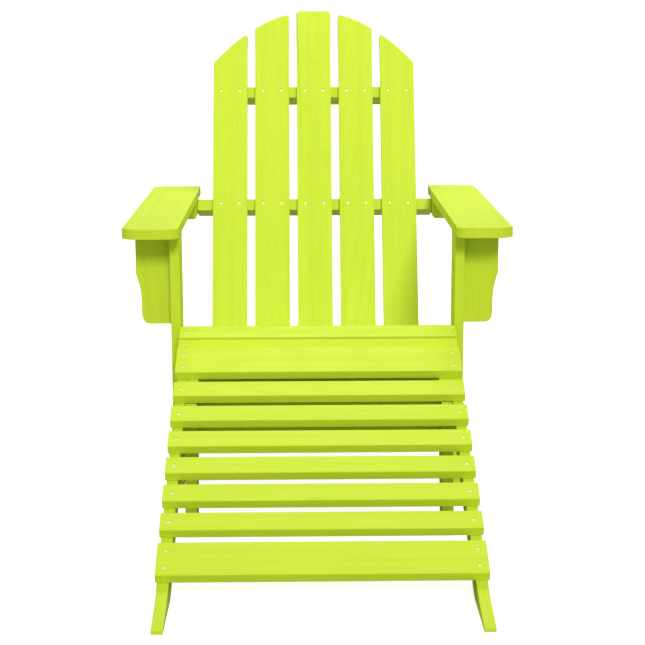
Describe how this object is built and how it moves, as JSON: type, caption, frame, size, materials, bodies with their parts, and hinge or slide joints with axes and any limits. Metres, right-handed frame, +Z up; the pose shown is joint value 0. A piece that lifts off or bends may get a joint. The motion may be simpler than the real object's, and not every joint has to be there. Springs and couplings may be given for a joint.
{
  "type": "adirondack chair",
  "caption": "Low slatted wooden garden chair with wide flat arms, a reclined fan-topped back and a matching sloping slatted footrest that stands against the seat front and lifts away.",
  "frame": {"origin": "on the floor, under the middle of the chair and footrest together", "axes": "+Z up, +X across the chair to the right as seen from in front of it, -Y the way the sitter faces, towards the footrest"},
  "size_m": [0.714, 1.4538, 0.8897],
  "materials": {
    "painted_wood": "satin lime-green paint over softwood boards",
    "fastener": "zinc-plated steel"
  },
  "bodies": {
    "chair": {"back_slat_1": "painted_wood", "back_slat_2": "painted_wood", "back_slat_3": "painted_wood", "back_slat_4": "painted_wood", "back_slat_5": "painted_wood", "back_rail_upper": "painted_wood", "back_rail_middle": "painted_wood", "back_rail_lower": "painted_wood", "seat_slat_1": "painted_wood", "seat_slat_2": "painted_wood", "seat_slat_3": "painted_wood", "seat_slat_4": "painted_wood", "seat_slat_5": "painted_wood", "seat_slat_6": "painted_wood", "seat_slat_7": "painted_wood", "seat_slat_8": "painted_wood", "seat_slat_9": "painted_wood", "seat_slat_10": "painted_wood", "seat_slat_11": "painted_wood", "front_apron": "painted_wood", "stringer_left": "painted_wood", "front_leg_left": "painted_wood", "arm_left": "painted_wood", "arm_bracket_left": "painted_wood", "arm_block_left": "painted_wood", "leg_bolt_left_1": "fastener", "leg_nut_left_1": "fastener", "leg_bolt_left_2": "fastener", "leg_nut_left_2": "fastener", "stringer_right": "painted_wood", "front_leg_right": "painted_wood", "arm_right": "painted_wood", "arm_bracket_right": "painted_wood", "arm_block_right": "painted_wood", "leg_bolt_right_1": "fastener", "leg_nut_right_1": "fastener", "leg_bolt_right_2": "fastener", "leg_nut_right_2": "fastener"},
    "footrest": {"footrest_board_front": "painted_wood", "footrest_slat_6": "painted_wood", "footrest_slat_5": "painted_wood", "footrest_slat_4": "painted_wood", "footrest_slat_3": "painted_wood", "footrest_slat_2": "painted_wood", "footrest_slat_1": "painted_wood", "footrest_board_rear": "painted_wood", "footrest_stretcher": "painted_wood", "footrest_stringer_left": "painted_wood", "footrest_leg_left": "painted_wood", "footrest_bolt_left_1": "fastener", "footrest_nut_left_1": "fastener", "footrest_bolt_left_2": "fastener", "footrest_nut_left_2": "fastener", "footrest_stringer_right": "painted_wood", "footrest_leg_right": "painted_wood", "footrest_bolt_right_1": "fastener", "footrest_nut_right_1": "fastener", "footrest_bolt_right_2": "fastener", "footrest_nut_right_2": "fastener"}
  },
  "joints": [
    {"name": "footrest_slide", "type": "slide", "parent": "chair", "child": "footrest", "axis": [0, -1, 0], "range_m": [0, 0.6]}
  ]
}
